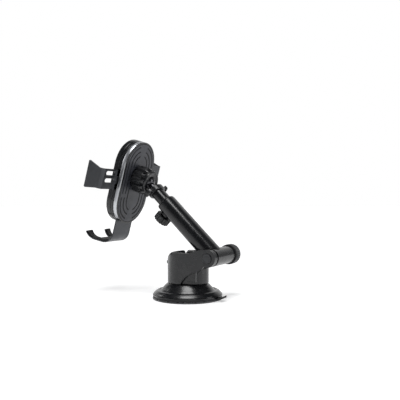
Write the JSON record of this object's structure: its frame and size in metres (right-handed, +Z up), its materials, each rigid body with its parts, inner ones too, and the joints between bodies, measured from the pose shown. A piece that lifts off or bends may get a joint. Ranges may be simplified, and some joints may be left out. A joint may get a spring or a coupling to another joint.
{
  "type": "car phone mount",
  "caption": "Dashboard phone mount: locking suction base, tilting telescopic arm, and a ball-jointed head whose foot and side wings close on a phone.",
  "frame": {"origin": "centre of the suction pad's bottom face", "axes": "+Z up from the pad, -Y towards the driver, X along the arm's hinge with the hinge knob on -X"},
  "size_m": [0.1174, 0.1661, 0.173],
  "materials": {
    "gel": "soft sticky dark grey gel",
    "rubber": "matt black rubber",
    "gloss_black": "high-gloss black plastic",
    "satin_black": "satin black plastic with fine grain",
    "matt_grey": "matt dark grey plastic with ring grooves",
    "bright_trim": "bright polished trim",
    "grey_metal": "fine-blasted grey metal",
    "steel": "plain steel",
    "nylon": "natural nylon"
  },
  "bodies": {
    "base": {"suction_gel_pad": "gel", "suction_membrane": "rubber", "base_ring": "gloss_black", "base_cone": "gloss_black", "neck_bracket": "gloss_black", "neck_screw_1": "steel", "neck_screw_2": "steel", "neck_screw_3": "steel", "stem_spring": "steel", "hinge_bolt": "steel", "hinge_cap": "satin_black", "tooth_ring": "satin_black", "knob_washer": "rubber"},
    "stem": {"suction_stem": "satin_black", "stem_pin": "steel"},
    "lever": {"lock_lever": "satin_black"},
    "knob": {"hinge_knob": "satin_black"},
    "arm": {"arm_barrel": "gloss_black", "outer_tube": "gloss_black", "tube_bushing": "satin_black"},
    "thumb_screw": {"thumb_screw": "satin_black"},
    "inner_arm": {"inner_tube": "gloss_black", "slide_shoe": "nylon", "cable_clip": "satin_black", "ball_stud": "steel"},
    "seat": {"ball_seat": "nylon"},
    "cover": {"seat_cover": "satin_black"},
    "head": {"ball_socket": "satin_black", "back_panel": "matt_grey", "trim_ring": "bright_trim", "rear_housing": "gloss_black", "front_housing": "gloss_black", "front_pad": "rubber", "housing_screw_1": "steel", "housing_screw_2": "steel", "housing_screw_3": "steel", "housing_screw_4": "steel", "return_spring": "steel"},
    "nut": {"ball_nut": "satin_black"},
    "foot": {"foot": "grey_metal", "foot_pad": "rubber"},
    "wing_right": {"wing_right": "grey_metal", "wing_pin_right": "steel", "jaw_pad_right": "rubber"},
    "wing_left": {"wing_left": "grey_metal", "wing_pin_left": "steel", "jaw_pad_left": "rubber"}
  },
  "joints": [
    {"name": "lever_lift", "type": "hinge", "parent": "base", "child": "lever", "pos_m": [0, 0.033, 0.04525], "axis": [-1, 0, 0], "range_deg": [0, 25]},
    {"name": "stem_drop", "type": "slide", "parent": "base", "child": "stem", "axis": [0, 0, 1], "range_m": [-0.003, 0], "deforming": ["stem_spring"]},
    {"name": "knob_turn", "type": "hinge", "parent": "base", "child": "knob", "pos_m": [-0.0365, 0.033, 0.04525], "axis": [-1, 0, 0], "continuous": true},
    {"name": "arm_tilt", "type": "hinge", "parent": "base", "child": "arm", "pos_m": [0, 0.033, 0.04525], "axis": [-1, 0, 0], "range_deg": [-8, 84]},
    {"name": "screw_turn", "type": "hinge", "parent": "arm", "child": "thumb_screw", "pos_m": [0, -0.02044, 0.09614], "axis": [0, -0.6896, -0.7242], "continuous": true},
    {"name": "arm_slide", "type": "slide", "parent": "arm", "child": "inner_arm", "axis": [0, -0.7242, 0.6896], "range_m": [-0.013, 0.025]},
    {"name": "head_nod", "type": "hinge", "parent": "inner_arm", "child": "seat", "pos_m": [0, -0.051, 0.12525], "axis": [1, 0, 0], "range_deg": [-55, 3]},
    {"name": "head_turn", "type": "hinge", "parent": "seat", "child": "cover", "pos_m": [0, -0.051, 0.12525], "axis": [0, 0.2689, 0.9632], "range_deg": [-12, 12]},
    {"name": "head_spin", "type": "hinge", "parent": "cover", "child": "head", "pos_m": [0, -0.051, 0.12525], "axis": [0, 0.9632, -0.2689], "range_deg": [-90, 90]},
    {"name": "nut_turn", "type": "hinge", "parent": "head", "child": "nut", "pos_m": [0, -0.051, 0.12525], "axis": [0, 0.9632, -0.2689], "continuous": true},
    {"name": "foot_drop", "type": "slide", "parent": "head", "child": "foot", "axis": [0, -0.2689, -0.9632], "range_m": [0, 0.018], "stiffness_N_per_m": 60, "springref_m": -0.01, "deforming": ["return_spring"]},
    {"name": "wing_right_close", "type": "slide", "parent": "head", "child": "wing_right", "axis": [-1, 0, 0], "range_m": [0, 0.018]},
    {"name": "wing_left_close", "type": "slide", "parent": "head", "child": "wing_left", "axis": [1, 0, 0], "range_m": [0, 0.018]}
  ],
  "couplings": [
    {"joint": "stem_drop", "follows": "lever_lift", "m_per_rad": -0.0068},
    {"joint": "wing_right_close", "follows": "foot_drop", "ratio": 1},
    {"joint": "wing_left_close", "follows": "foot_drop", "ratio": 1}
  ]
}
